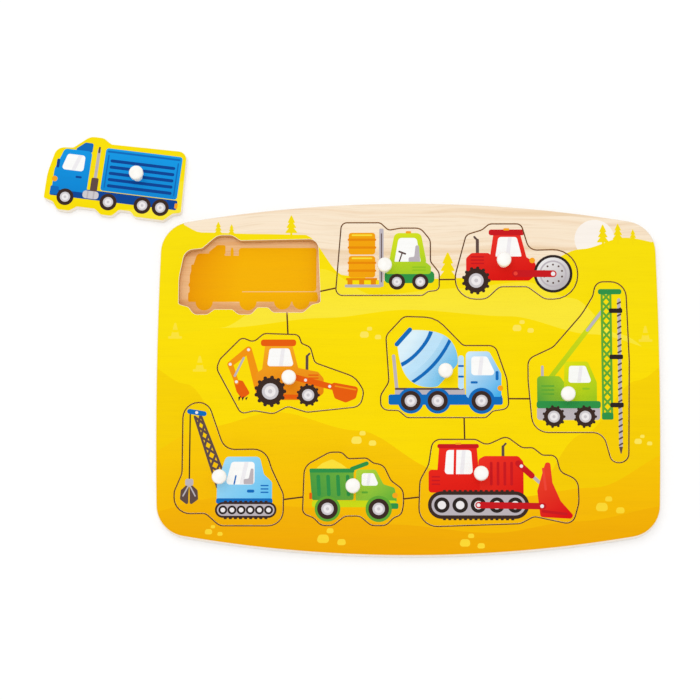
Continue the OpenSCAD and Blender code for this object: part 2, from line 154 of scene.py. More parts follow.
def arc(x, y, radius, start, end, step=ARC_STEP):
    """Points of an arc about (x, y), from one angle to another"""
    steps = max(1, math.ceil(abs(end - start) / step))
    turns = [start + (end - start) * k / steps for k in range(steps + 1)]
    return [(x + radius * math.cos(t), y + radius * math.sin(t)) for t in turns]


def disc(x, y, radius):
    return arc(x, y, radius, 0, math.tau)[:-1]


def blob(corners, radius):
    """Outline through the corners, each rounded by an arc, smaller where the edges are short"""
    spots = [Vector(c) for c in corners]
    outline = []
    for i, spot in enumerate(spots):
        back, ahead = spots[i - 1] - spot, spots[(i + 1) % len(spots)] - spot
        half = back.angle(ahead) / 2
        reach = min(radius / math.tan(half), back.length / 2, ahead.length / 2)
        own = reach * math.tan(half)
        middle = spot + (back.normalized() + ahead.normalized()).normalized() * own / math.sin(half)
        first = spot + back.normalized() * reach - middle
        start = math.atan2(first.y, first.x)
        side = 1 if back.x * ahead.y - back.y * ahead.x < 0 else -1
        outline += arc(middle.x, middle.y, own, start, start + side * (math.pi - 2 * half))
    return outline


def box(left, low, right, high, radius=0.3):
    return blob([(left, low), (right, low), (right, high), (left, high)], radius)


def pane(low, high, low_left, high_left, high_right, low_right, radius=0.2):
    """Four-sided outline with a level foot and top"""
    return blob([(low_left, low), (high_left, high), (high_right, high), (low_right, low)], radius)


def bar(start, end, width, end_width=None):
    """Straight stroke with round ends"""
    a, b = Vector(start), Vector(end)
    turn = math.atan2(b.y - a.y, b.x - a.x)
    quarter = math.pi / 2
    far = (end_width or width) / 2
    return (arc(b.x, b.y, far, turn - quarter, turn + quarter)
            + arc(a.x, a.y, width / 2, turn + quarter, turn + 3 * quarter))


def shifted(shapes, x, y):
    return [(ink, [(px + x, py + y) for px, py in outline]) for ink, outline in shapes]


# Parts that several vehicles share

def wheel(x, y, radius):
    return [("tyre", disc(x, y, radius)), ("rim", disc(x, y, radius * 0.6)),
            ("hub", disc(x, y, radius * 0.4)), ("rim", disc(x, y, radius * 0.16))]


def wheels(places, y, radius):
    return [shape for x in places for shape in wheel(x, y, radius)]


def lugged_wheel(x, y, radius, lugs):
    """Wheel with a row of lugs round its tyre"""
    middle = Vector((x, y))
    shapes = []
    for k in range(lugs):
        turn = math.tau * k / lugs
        out = Vector((math.cos(turn), math.sin(turn))) * radius
        shapes.append(("tyre", bar(middle + out * 0.8, middle + out * 1.03, radius * 0.28)))
    return shapes + wheel(x, y, radius)


def lattice(ink, start, end, start_width, end_width, bays, stroke):
    """Two chords and the zigzag between them"""
    a, b = Vector(start), Vector(end)
    along = (b - a).normalized()
    across = Vector((-along.y, along.x)) / 2
    halves = [across * (start_width + (end_width - start_width) * k / bays) for k in range(bays + 1)]
    left = [a.lerp(b, k / bays) + half for k, half in enumerate(halves)]
    right = [a.lerp(b, k / bays) - half for k, half in enumerate(halves)]
    strokes = [(left[0], left[-1]), (right[0], right[-1])]
    for k in range(bays):
        strokes += [(left[k], right[k + 1]), (right[k], left[k + 1])]
    return [(ink, bar(p, q, stroke)) for p, q in strokes]


def track(left, low, right, high, lugs, rollers):
    """Crawler track with lugs outside and rollers inside"""
    radius = (high - low) / 2
    run = right - left - 2 * radius
    band = radius * 0.26
    shapes = []
    for k in range(lugs):
        x = left + radius + run * (k + 0.5) / lugs
        shapes += [("tyre", box(x - 0.9, low - 0.8, x + 0.9, low + 1)),
                   ("tyre", box(x - 0.9, high - 1, x + 0.9, high + 0.8))]
    shapes += [("tyre", box(left, low, right, high, radius)),
               ("steel", box(left + band, low + band, right - band, high - band, radius - band))]
    for k in range(rollers):
        spot = (left + radius + run * k / (rollers - 1), low + radius)
        shapes += [("black", disc(*spot, radius * 0.56)), ("hub", disc(*spot, radius * 0.3))]
    return shapes


def rows(ink, left, right, low, pitch, count, height):
    """Level strokes, one above the other"""
    return [(ink, bar((left, low + pitch * k), (right, low + pitch * k), height)) for k in range(count)]


def window(glass, glare):
    """Pane of glass with a bar of light across it"""
    return [("glass", pane(*glass)), ("glare", pane(*glare))]


def exhaust(foot, bend, tip, width, tip_width):
    """Upright pipe with a bent tip"""
    return [("dark_steel", bar(foot, bend, width)), ("dark_steel", bar(bend, tip, tip_width))]


# Vehicles, each in its own box, with every shape over the ones before it

def container_truck():
    cab = [(4.2, 12.4), (4.2, 25), (8.6, 38.4), (25.6, 38.4), (25.6, 12.4)]
    return [
        ("navy", box(3.4, 8.6, 81.2, 14.6, 1)),
        ("steel", bar((29.6, 14), (29.6, 40), 1.9)),
        ("dark_steel", bar((29.6, 38.6), (29.6, 41.4), 1.2)),
        ("dark_steel", box(27.4, 14, 31.8, 22.4, 0.8)),
        ("cobalt", pane(37.6, 43.6, 13.6, 20.6, 25.6, 25.6, 1.2)),
        ("truck_blue", blob(cab, 2.4)),
        *window((25.4, 35.4, 8.2, 11, 21.8, 21.8, 1.8), (25.6, 35.2, 14.4, 17.6, 20, 16.8)),
        ("navy", box(17.6, 21, 21.4, 22.3, 0.6)),
        ("cobalt", box(3.4, 9.2, 8.6, 14.4, 0.9)),
        ("navy", box(5, 26, 6.8, 31.6, 0.8)),
        ("lamp", disc(5.2, 19, 1.7)),
        ("rim", box(23.4, 9.2, 33.2, 14, 2)),
        ("steel", box(26, 9.2, 26.9, 14)),
        ("steel", box(29.7, 9.2, 30.6, 14)),
        ("truck_blue", box(33.6, 15, 80.6, 41.8, 1.8)),
        ("cobalt", box(34.8, 39.2, 79.4, 40.4, 0.5)),
        ("lamp", box(79.8, 9.6, 81.6, 12.8, 0.6)),
        *rows("navy", 38.2, 76, 18.6, 3.9, 5, 1.9),
        *[("cobalt", bar((x, 17.4), (x, 37.4), 0.8)) for x in (35.8, 78.4)],
        *wheels((13.1, 39.5), 8.5, 5.2),
        *wheels((60.3, 71.4), 9, 5.2),
    ]


def barrel(low):
    """Barrel on the forklift's pallet, with two hoops"""
    return [
        ("drum", box(7.4, low, 23.4, low + 13.4, 1.8)),
        ("hoop", box(6.8, low + 3.6, 24, low + 5, 0.6)),
        ("hoop", box(6.8, low + 8.4, 24, low + 9.8, 0.6)),
        ("sand", box(9.2, low + 11.4, 21.6, low + 12.4, 0.5)),
    ]


def forklift():
    hood = [(29.4, 13), (29.4, 19), (33, 20.6), (53.4, 20.6), (56.8, 17.6), (56.8, 13)]
    seat = [(43.4, 20), (43.4, 23.2), (46.8, 23.6), (47.6, 30.6), (49.6, 30.6), (50.4, 20)]
    return [
        ("steel", box(25.8, 5.2, 28.4, 41, 0.8)),
        ("dark_steel", box(26.8, 8, 27.4, 38, 0.2)),
        ("steel", box(5.2, 4.8, 27, 6.6, 0.7)),
        ("hoop", box(6, 9.2, 24.6, 10.6)),
        *[("hoop", box(x, 6.6, x + 3, 9.6)) for x in (6.8, 13.8, 20.8)],
        *barrel(10.8),
        *barrel(25),
        ("deep_green", box(29, 7.4, 58.8, 14.8, 2.4)),
        ("cab_lime", pane(18, 38.2, 31.2, 35, 50.8, 54.6, 3.4)),
        ("glass", pane(19, 35.2, 34.6, 37.4, 48.2, 51, 2.2)),
        ("steel", blob(seat, 0.9)),
        ("dark_steel", bar((37.6, 20), (39.6, 26), 0.8)),
        ("dark_steel", bar((37.8, 26.8), (41.4, 25.4), 1.1)),
        ("cab_lime", blob(hood, 1.8)),
        ("leaf", bar((46, 17.2), (53.4, 17.2), 0.9)),
        ("leaf", bar((46, 15.4), (53.4, 15.4), 0.9)),
        ("lamp", box(41.6, 38, 45, 39.4, 0.7)),
        *wheels((36.4, 50.4), 8.3, 4.9),
    ]


def road_roller():
    body = [(6.4, 13), (6.4, 25), (9.6, 28.2), (20, 28.2), (22, 26), (42, 26), (48, 22), (48, 14.6),
            (44, 11.2), (20, 11.2)]
    drum = (58.4, 15.4)
    bolts = [math.tau * (k + 0.5) / 10 for k in range(10)]
    return [
        *exhaust((13.2, 27), (13.2, 36), (11.4, 38), 1.9, 1.3),
        ("roller_red", pane(24, 41, 20.4, 23, 38.6, 43, 1.6)),
        *window((25, 38, 23.8, 25.8, 36.8, 40, 1.8), (25.4, 37.8, 30, 31.6, 33.8, 32.4)),
        ("deep_red", box(20, 39, 41.4, 42.6, 1.5)),
        ("lamp", box(28.8, 42, 32.4, 43.4, 0.6)),
        ("roller_red", blob(body, 2.4)),
        ("lamp", disc(46, 23.6, 1.7)),
        ("black", disc(*drum, 11.6)),
        ("roller_drum", disc(*drum, 10)),
        ("steel", disc(*drum, 8.2)),
        ("roller_drum", disc(*drum, 7.2)),
        *rows("deep_red", 9.6, 16.8, 21.8, 2, 3, 0.9),
        *[("dark_steel", disc(drum[0] + 5.6 * math.cos(t), drum[1] + 5.6 * math.sin(t), 0.6)) for t in bolts],
        ("deep_red", bar((36, 15.6), drum, 4.2)),
        ("hub", disc(*drum, 1.3)),
        ("bright_red", disc(36, 15.6, 1.2)),
        *lugged_wheel(12.4, 11.3, 7.4, 13),
    ]


def drill_rig():
    engine = [(5.2, 35), (5.2, 51.8), (18.6, 51.8), (21.8, 47.4), (21.8, 35)]
    cab = [(20.8, 35), (21.6, 60.6), (35.4, 60.6), (40.6, 48), (40.6, 35)]
    drill_x = 54.4
    low, high = 9.0, 98.0
    joints = [low + (high - low) * (k + 0.5) / 24 for k in range(24)]
    return [
        ("boom_lime", bar((12.6, 50), (43.4, 90), 2.9)),
        ("steel", bar((35.4, 79.6), (44.6, 91.6), 1.8)),
        *lattice("green", (46.8, 27.6), (46.8, 102.6), 5.2, 5.2, 13, 1.3),
        ("deep_green", box(42, 101.4, 56, 104.6, 1.3)),
        ("deep_green", box(43.4, 25.6, 50.2, 29.8, 1)),
        ("steel", bar((drill_x, low), (drill_x, high), 2)),
        ("dark_steel", blob([(53.2, 9.4), (drill_x, 4.2), (55.6, 9.4)], 0.3)),
        *[("dark_steel", bar((drill_x - 0.9, y - 0.5), (drill_x + 0.9, y + 0.5), 1)) for y in joints],
        *[("black", box(48.4, y, 56.4, y + 2.8, 0.8)) for y in (33, 62, 90)],
        ("steel", bar((8.4, 51), (8.4, 57.4), 1.6)),
        ("steel", pane(25.4, 33.4, 5, 5, 42.4, 42.4, 1.8)),
        ("engine_green", blob(engine, 2.2)),
        ("rig_lime", blob(cab, 2)),
        *window((47.8, 58, 23.8, 24.3, 34, 37.8, 1.6), (48, 57.8, 29, 30.4, 32.4, 31.2)),
        ("leaf", box(32, 43.6, 36.4, 44.8, 0.5)),
        ("deep_green", box(4.8, 32.4, 42.8, 36.8, 1.5)),
        *rows("green", 8, 15, 41, 2.4, 3, 0.9),
        *lugged_wheel(15, 27.4, 5.9, 11),
        *lugged_wheel(33.6, 27.4, 5.9, 11),
    ]


def backhoe_loader():
    body = [(23, 10), (23, 24), (28, 27.6), (47, 27.6), (60, 25), (63.4, 21), (63.4, 12), (58, 8), (28, 8)]
    scoop = [(9.4, 20.4), (15.2, 19.6), (19.6, 12), (14.8, 8.4), (11.6, 13)]
    bucket = [(67, 19), (84.2, 15.8), (82.6, 9), (76.6, 6.4), (70, 9)]
    pins = [(18.4, 38.4), (7.6, 29.6), (11.4, 19), (52.6, 20), (67, 16.2)]
    teeth = []
    for k in range(3):
        x = 12.6 + 2.1 * k
        teeth.append([(x, 9.6 - 0.2 * k), (x + 1.7, 10.6 - 0.2 * k), (x + 0.4, 6.9 + 0.3 * k)])
    return [
        ("deep_orange", blob(scoop, 1.4)),
        ("orange", bar((24.8, 15), (18.4, 38.4), 5, 4)),
        ("orange", bar((18.4, 38.4), (7.6, 29.6), 4, 3.4)),
        ("orange", bar((7.6, 29.6), (11.6, 18.6), 3.4, 2.6)),
        ("steel", bar((15.6, 33.4), (10.4, 22.6), 1.3)),
        *exhaust((53.4, 26), (53.4, 34.4), (54.8, 36), 1.7, 1.2),
        ("hoe_orange", blob([(26.4, 24), (28.4, 42), (44.4, 42), (48.8, 25)], 1.6)),
        *window((28.4, 39.2, 29.6, 31, 42.8, 45.6, 1.7), (28.6, 39, 36.6, 38, 40.2, 39)),
        ("deep_orange", box(25.8, 40.6, 46.8, 44.6, 1.6)),
        ("hoe_orange", blob(body, 2.4)),
        ("deep_orange", bar((28, 10.2), (58, 9.8), 2.6)),
        ("deep_orange", blob(bucket, 2)),
        ("orange", bar((70.4, 16.4), (82.4, 14.2), 0.9)),
        ("deep_orange", bar((45, 22), (68, 16), 3.6)),
        *rows("deep_orange", 54.6, 60, 19.4, 1.8, 3, 0.8),
        *[("black", blob(tooth, 0.2)) for tooth in teeth],
        *[("hub", disc(x, y, 0.9)) for x, y in pins],
        *lugged_wheel(31.6, 13.2, 8.2, 13),
        *lugged_wheel(54.2, 11, 6, 11),
    ]


def mixer_drum(mouth, base):
    """Egg shaped drum on a tilted axis, with bands that curve round it"""
    start = Vector(mouth)
    axis = Vector(base) - start
    across = Vector((-axis.y, axis.x)).normalized()
    bulge = 0.07
    steps = 24
    sides = [k / 10 - 1 for k in range(21)]

    def spot(s, side):
        radius = 5.4 + 9.8 * math.sin(math.pi * s ** 1.15) ** 0.8 + 3.4 * s
        return tuple(start + axis * s + across * side * radius)

    def belt(ink, first, last, reach):
        edge = [spot(first + bulge * (1 - t * t), t * reach) for t in sides]
        back = [spot(last + bulge * (1 - t * t), t * reach) for t in reversed(sides)]
        return ink, edge + back

    near_side = [spot(k / steps, 1) for k in range(steps + 1)]
    far_side = [spot(k / steps, -1) for k in range(steps, -1, -1)]
    return [
        ("drum_sky", blob(near_side + far_side, 3)),
        belt("pale_sky", 0.36, 0.5, 0.97),
        belt("cobalt", 0.26, 0.32, 0.99),
        belt("cobalt", 0.6, 0.66, 0.99),
        ("cobalt", bar(spot(0, 1.1), spot(0, -1.1), 2.6)),
    ]


def mixer_truck():
    cab = [(50.6, 11.4), (50.6, 39.8), (64.4, 39.8), (71.6, 26.4), (71.6, 11.4)]
    return [
        ("steel", bar((9.4, 18), (7.6, 37), 2)),
        ("steel", box(8.4, 13, 50, 17.6, 0.8)),
        ("dark_steel", box(8.4, 16.6, 49, 17.8)),
        *mixer_drum((13.4, 48.6), (39.8, 25.4)),
        ("pale_sky", box(46, 17, 49.4, 37.4, 1.6)),
        ("cobalt", box(46, 24, 49.4, 25.2)),
        ("cobalt", box(46, 30.4, 49.4, 31.6)),
        ("cobalt", box(4.6, 7.6, 72, 13.8, 1.3)),
        *[("cobalt", disc(x, 10, 7.7)) for x in (17.8, 33.8)],
        ("mixer_cab", blob(cab, 2.6)),
        *window((25.4, 36.8, 53.8, 53.8, 63.2, 68.6, 2), (25.6, 36.6, 57.6, 59, 61.2, 60)),
        ("cobalt", box(53.4, 20.4, 57.6, 21.8, 0.6)),
        ("cobalt", box(68.2, 22.4, 70, 28, 0.8)),
        ("lamp", disc(71, 17.6, 1.7)),
        ("cobalt", disc(59.8, 10, 7.9)),
        ("cobalt", box(64, 7.6, 72.4, 12.4, 1.2)),
        *wheels((17.8, 33.8, 59.8), 10, 6),
    ]


def crawler_crane():
    body = [(25.2, 14), (25.2, 25), (30.4, 41), (50.4, 41), (53, 30.4), (57.8, 26), (57.8, 14)]
    jaw = [(8.8, 25.6), (3.8, 21), (3.4, 15.6), (8.4, 11.8), (8.4, 18)]
    return [
        *lattice("dark_steel", (28.4, 24), (13.2, 65.6), 6.4, 3.6, 7, 1.4),
        ("black", bar((8.8, 67), (8.8, 27), 0.8)),
        ("dark_steel", blob(jaw, 1)),
        ("dark_steel", blob([(17.6 - x, y) for x, y in jaw], 1)),
        ("steel", box(6.4, 23.6, 11.2, 27.8, 1.2)),
        ("steel", bar((8.8, 24.4), (5.2, 17.6), 0.8)),
        ("steel", bar((8.8, 24.4), (12.4, 17.6), 0.8)),
        ("cobalt", bar((8.4, 68.2), (17, 66.8), 3)),
        ("hub", disc(12.6, 67.5, 0.9)),
        ("crane_sky", blob(body, 2.6)),
        *window((24.4, 38, 30.2, 33.8, 47.4, 47.4, 2), (24.6, 37.8, 38.6, 41.4, 43.8, 41)),
        ("steel", blob([(41, 24.6), (41, 27.6), (44, 28), (45.2, 34), (46.8, 34), (46.8, 24.6)], 0.8)),
        ("cobalt", bar((35.4, 24.8), (36.4, 29.6), 0.9)),
        ("cobalt", box(43, 19.6, 47.4, 21.4, 0.8)),
        ("cobalt", box(24.8, 13, 58.2, 16.2, 1.2)),
        *rows("cobalt", 51.4, 55.4, 19.8, 2, 3, 0.8),
        *track(24.2, 4.6, 60.6, 14, 9, 6),
    ]


def dump_truck():
    cab = [(31.2, 13), (31.4, 33.2), (43, 33.2), (47.6, 24.4), (54.2, 22.4), (55.8, 13)]
    heap = [(5.6, 32), (11.4, 37), (17.2, 39.4), (22.6, 36.6), (28.6, 32)]
    return [
        ("sand", blob(heap, 2.2)),
        ("tub_green", pane(15, 33.8, 5.4, 3.8, 30, 30, 1.3)),
        ("deep_green", bar((29, 33.6), (37.6, 36.8), 2.5)),
        ("deep_green", box(3.8, 31.4, 30.4, 33.8, 0.8)),
        *[("deep_green", bar((x, 18.4), (x - 0.6, 29), 2.2)) for x in (9.6, 15.4, 21.2, 27)],
        ("cab_green", blob(cab, 2)),
        *window((23.6, 31, 34.6, 34.8, 41.8, 45, 1.5), (23.8, 30.8, 37.4, 38.6, 40.2, 39.2)),
        ("green", box(34.6, 19, 38.4, 20.2, 0.5)),
        ("lime", box(5.4, 10.8, 55.2, 14.8, 1.2)),
        ("deep_green", box(51.4, 9.8, 56.4, 13.2, 1)),
        ("lamp", disc(54.4, 17.8, 1.6)),
        ("deep_orange", box(3.8, 15.6, 5.4, 19.4, 0.5)),
        ("green", disc(44.8, 9.8, 7.8)),
        ("green", disc(14.6, 9.8, 7.6)),
        *wheels((14.6, 44.8), 9.8, 6.1),
    ]


def bulldozer():
    bonnet = [(35, 17), (35, 39.8), (38.6, 41.8), (58.6, 41.8), (61.6, 38.4), (61.6, 17)]
    blade = [(71.4, 5.6), (69.6, 21), (74.6, 38), (77.4, 38), (78.6, 26), (83.4, 15), (90.8, 6.6),
             (89.4, 4.6)]
    return [
        *exhaust((49.6, 41), (49.6, 47.4), (51.2, 49.2), 1.7, 1.2),
        ("hood_red", blob(bonnet, 2.4)),
        ("dozer_red", pane(20, 33.6, 5.6, 5.6, 14, 14, 2)),
        ("dozer_red", pane(20, 48.8, 9.8, 12, 34, 36.2, 2.8)),
        *window((31, 45.4, 15, 16.2, 30.8, 31.8, 2), (31.2, 45.2, 24, 25.4, 27.6, 26.4)),
        ("dozer_red", bar((21, 30.4), (21.4, 46), 1.5)),
        ("deep_red", box(10.8, 46.4, 35.4, 49, 1.2)),
        ("lamp", box(21.4, 48.6, 25, 49.8, 0.5)),
        *[("deep_red", bar((x, 25), (x, 37.6), 1.6)) for x in (42.6, 46.6, 50.6, 54.6)],
        *rows("deep_red", 7.8, 12, 25, 2.2, 3, 0.9),
        ("steel", bar((60, 36), (73.4, 24), 2)),
        ("deep_red", bar((58.6, 37.4), (66.4, 30.2), 3.6)),
        ("blade_red", blob(blade, 1.6)),
        ("deep_red", bar((72.8, 9), (86.6, 7.4), 1.6)),
        ("bright_red", bar((73.2, 34.2), (74.6, 22), 1.4)),
        *track(5.2, 4.4, 64.8, 20.8, 14, 5),
        ("deep_red", bar((35, 12.6), (73, 12), 3.8)),
        *[("hub", disc(*pin)) for pin in ((35, 12.6, 1.1), (72.4, 12, 1.1), (60.4, 35.8, 1))],
    ]


VEHICLES = {draw.__name__: draw for draw in (
    container_truck, forklift, road_roller, drill_rig, backhoe_loader, mixer_truck, crawler_crane,
    dump_truck, bulldozer)}


def piece_corner(name):
    """Lower left corner of a piece's box as it lies in its pocket"""
    if name == TRUCK:
        return TRUCK_HOME
    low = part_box(name)[0] / MM
    return low.x - SAW_KERF / 2, low.y - SAW_KERF / 2


# Landscape behind the vehicles, in the board's frame

def rolling(points, step=3.0):
    """Land whose skyline runs smoothly through the points, down past the board's near edge"""
    xs, ys = zip(*points)
    skyline = []
    for x in np.arange(xs[0], xs[-1] + step / 2, step):
        k = min(max(np.searchsorted(xs, x) - 1, 0), len(xs) - 2)
        share = (x - xs[k]) / (xs[k + 1] - xs[k])
        ease = share * share * (3 - 2 * share)
        skyline.append((float(x), float(ys[k] + (ys[k + 1] - ys[k]) * ease)))
    under = -130.0
    return skyline + [(xs[-1], under), (xs[0], under)]


def pine(x, y, height):
    """Fir tree of three tiers"""
    shapes = [("tree", box(x - height * 0.05, y - 1, x + height * 0.05, y + height * 0.3))]
    for k in range(3):
        half = height * (0.3 - 0.06 * k)
        low = y + height * (0.16 + 0.24 * k)
        tier = [(x - half, low), (x + half, low), (x, low + height * 0.4)]
        shapes.append(("tree", blob(tier, height * 0.03)))
    return shapes


def cone(x, y, height):
    """Traffic cone with one stripe"""
    half = height * 0.3
    stripe = half * 0.62
    body = [(x - half, y), (x + half, y), (x + 0.5, y + height), (x - 0.5, y + height)]
    return [("road", blob(body, 0.4)),
            ("middle_ground", box(x - stripe, y + height * 0.36, x + stripe, y + height * 0.54, 0.1)),
            ("road", box(x - half * 1.5, y - height * 0.06, x + half * 1.5, y + height * 0.1, 0.4))]


def pebbles(ink, x, y, size):
    """Three stones side by side"""
    shapes = []
    for dx, dy, scale in ((0, 0, 1), (1.5, -0.16, 0.72), (0.72, 0.72, 0.6)):
        w, h = size * scale, size * scale * 0.62
        left, low = x + size * dx, y + size * dy
        stone = [(left, low), (left + w, low), (left + w * 0.9, low + h), (left + w * 0.2, low + h)]
        shapes.append((ink, blob(stone, h * 0.4)))
    return shapes


# Skylines of the grounds, the farthest first
SKYLINES = {
    "far_ground": [(-160, 98), (-140, 95), (-124, 88.5), (-90, 87.5), (-62, 87), (-38, 62), (-10, 58.5),
                   (20, 60), (70, 63), (104, 78), (130, 85), (160, 80)],
    "pale_field": [(-160, 6), (-112, 30), (-84, 44), (-52, 66), (-20, 50), (30, 54), (70, 58), (98, 48),
                   (126, 26), (160, 4)],
    "middle_ground": [(-160, 22), (-110, 30), (-50, 36), (0, 41), (60, 37), (110, 26), (160, 14)],
    "side_ground": [(-160, 10), (-132, -4), (-100, -44), (-40, -90), (60, -90), (104, -34), (136, -2),
                    (160, 12)],
    "hill_ground": [(-160, -48), (-120, -30), (-78, -21), (-30, -32), (20, -56), (60, -72), (110, -66),
                    (160, -44)],
    "near_ground": [(-160, -82), (-110, -72), (-60, -78), (-10, -88), (50, -93), (100, -86), (160, -76)],
}


def landscape():
    """Sun, grounds, trees on the farthest ground, and small things"""
    farthest, *nearer = [(ink, rolling(points)) for ink, points in SKYLINES.items()]
    shapes = [("sun", disc(112, 84, 12)), farthest]
    for x, y, height in ((-114, 86, 9), (-106, 86.5, 7), (-70, 86, 13), (24, 57, 19), (117, 80, 13),
                         (126, 82, 11.5), (135, 81.5, 8.5)):
        shapes += pine(x, y, height)
    return shapes + nearer + motifs()


def motifs():
    """Small things on the ground, in the tones of the ground"""
    shapes = []
    for x, y in ((-139, 24), (-124, 4), (141.5, 22)):
        shapes += cone(x, y, 9)
    for x, y, size in ((-34, -40, 7), (133.5, -40, 5), (-29, 24, 6), (62, 28, 6)):
        shapes += pebbles("stone", x, y, size)
    for x, y, size in ((-120, -94, 5), (-54, -99, 8), (30, -101, 7), (110, -80, 8)):
        shapes += pebbles("pale_stone", x, y, size)
    return shapes


# Materials

WHITE = (1, 1, 1, 1)


def linear(code):
    """Colour of a six digit code, as light"""
    parts = [int(code[k:k + 2], 16) / 255 for k in (0, 2, 4)]
    return tuple(c / 12.92 if c <= 0.04045 else ((c + 0.055) / 1.055) ** 2.4 for c in parts) + (1.0,)


def fill(tree, made, inputs):
    """Links and plain values for a node's sockets"""
    for socket, value in inputs.items():
        if isinstance(value, bpy.types.NodeSocket):
            tree.links.new(value, made.inputs[socket])
        else:
            made.inputs[socket].default_value = value


def node(tree, kind, inputs=None, **settings):
    """New shader node with its settings, values and links"""
    made = tree.nodes.new("ShaderNode" + kind)
    for name, value in settings.items():
        setattr(made, name, value)
    fill(tree, made, inputs or {})
    return made


def new_material(name):
    material = bpy.data.materials.new(name)
    material.use_nodes = True
    tree = material.node_tree
    return material, tree, tree.nodes["Principled BSDF"]


def home_place(tree):
    """Where a point lies on the board as it was printed, in metres"""
    return node(tree, "Attribute", attribute_name="home").outputs["Vector"]


def grain(tree, place, scale, detail=4.0):
    """Noise drawn out along the board"""
    spread = node(tree, "Mapping", {"Vector": place, "Scale": scale})
    return node(tree, "TexNoise", {"Vector": spread.outputs[0], "Scale": 1.0, "Detail": detail,
                                   "Roughness": 0.55}).outputs[0]


def ramp(tree, factor, stops):
    made = node(tree, "ValToRGB", {0: factor})
    elements = made.color_ramp.elements
    while len(elements) < len(stops):
        elements.new(0.5)
    for element, (at, colour) in zip(elements, stops):
        element.position = at
        element.color = colour
    return made.outputs[0]


def mixed(tree, factor, first, second, blend="MIX"):
    """Two colours mixed. The Mix node has them at its sockets 6 and 7"""
    return node(tree, "Mix", {0: factor, 6: first, 7: second}, data_type="RGBA", blend_type=blend).outputs[2]


def veiled(tree, tone, factor, dark_at, dark, clear_at):
    """The tone, darkened where the factor is low"""
    veil = ramp(tree, factor, [(dark_at, (*dark, 1)), (clear_at, WHITE)])
    return mixed(tree, 1.0, tone, veil, "MULTIPLY")


def relief(tree, height, distance, strength):
    return node(tree, "Bump", {"Height": height, "Distance": distance, "Strength": strength}).outputs[0]


def spanned(tree, value, low, high, to_low, to_high):
    return node(tree, "MapRange", {0: value, 1: low, 2: high, 3: to_low, 4: to_high}).outputs[0]


def printed(name, colour, end_colour=None, start=(0, 0), end=(0, 1)):
    """Ink on sanded wood under satin varnish: the grain shows through faintly, in tone and in relief.
    With an end colour, it changes from one place on the board to another"""
    material, tree, shader = new_material(name)
    place = home_place(tree)
    broad = grain(tree, place, (14, 260, 90))
    fine = grain(tree, place, (70, 1900, 600), 2.0)
    tone = linear(colour)
    if end_colour:
        first, last = (Vector((*spot, 0)) * MM for spot in (start, end))
        way = last - first
        from_first = node(tree, "VectorMath", {0: place, 1: first}, operation="SUBTRACT").outputs[0]
        share = node(tree, "VectorMath", {0: from_first, 1: way / way.length_squared},
                     operation="DOT_PRODUCT")
        tone = mixed(tree, share.outputs["Value"], linear(colour), linear(end_colour))
    shaded = veiled(tree, tone, broad, 0.3, (0.975, 0.97, 0.965), 0.62)
    fill(tree, shader, {
        "Base Color": veiled(tree, shaded, fine, 0.34, (0.98, 0.975, 0.97), 0.46),
        "Roughness": spanned(tree, broad, 0.3, 0.7, 0.4, 0.52),
        "Normal": relief(tree, fine, 0.00003, 0.25),
        "Specular IOR Level": 0.03,
    })
    return material


def bare_wood(name, pale, dark, line):
    """Sanded light wood with grain along the board"""
    material, tree, shader = new_material(name)
    place = home_place(tree)
    sway = grain(tree, place, (7, 22, 10), 2.0)
    drift = node(tree, "CombineXYZ", {1: spanned(tree, sway, 0, 1, -0.012, 0.012)})
    lifted = node(tree, "VectorMath", {0: place, 1: drift.outputs[0]}, operation="ADD").outputs[0]
    broad = grain(tree, lifted, (3.5, 190, 60), 3.0)
    fine = grain(tree, lifted, (40, 1500, 500), 3.0)
    tone = ramp(tree, broad, [(0.3, linear(line)), (0.42, linear(dark)), (0.52, linear(pale)),
                              (0.7, linear(dark))])
    fill(tree, shader, {
        "Base Color": veiled(tree, tone, fine, 0.33, (0.93, 0.9, 0.86), 0.47),
        "Roughness": spanned(tree, broad, 0.3, 0.7, 0.44, 0.58),
        "Normal": relief(tree, fine, 0.00005, 0.4),
        "Specular IOR Level": 0.22,
    })
    return material


def layered_edge(name, pale, dark, glue):
    """Edge of plywood: layers of long and end grain, with a thin glue line between them"""
    material, tree, shader = new_material(name)
    place = home_place(tree)
    parts = node(tree, "SeparateXYZ", {0: place})
    waver = grain(tree, place, (120, 120, 300), 2.0)
    drift = spanned(tree, waver, 0, 1, -0.00012, 0.00012)
    level = node(tree, "Math", {0: parts.outputs[2], 1: drift}, operation="ADD")
    share = spanned(tree, level.outputs[0], 0.0, SHEET_TOP * MM, 0.0, 1.0)
    stops = []
    for k, (low, high) in enumerate(zip(PLY_LEVELS, PLY_LEVELS[1:])):
        tone = linear((pale, dark)[k % 2])
        stops += [(low / SHEET_TOP, linear(glue)), ((low + GLUE_ABOVE) / SHEET_TOP, tone),
                  ((high - GLUE_BELOW) / SHEET_TOP, tone)]
    streaks = grain(tree, place, (900, 900, 500), 3.0)
    fill(tree, shader, {
        "Base Color": veiled(tree, ramp(tree, share, stops), streaks, 0.34, (0.94, 0.92, 0.89), 0.6),
        "Roughness": 0.62,
        "Normal": relief(tree, streaks, 0.00006, 0.4),
        "Specular IOR Level": 0.2,
    })
    return material


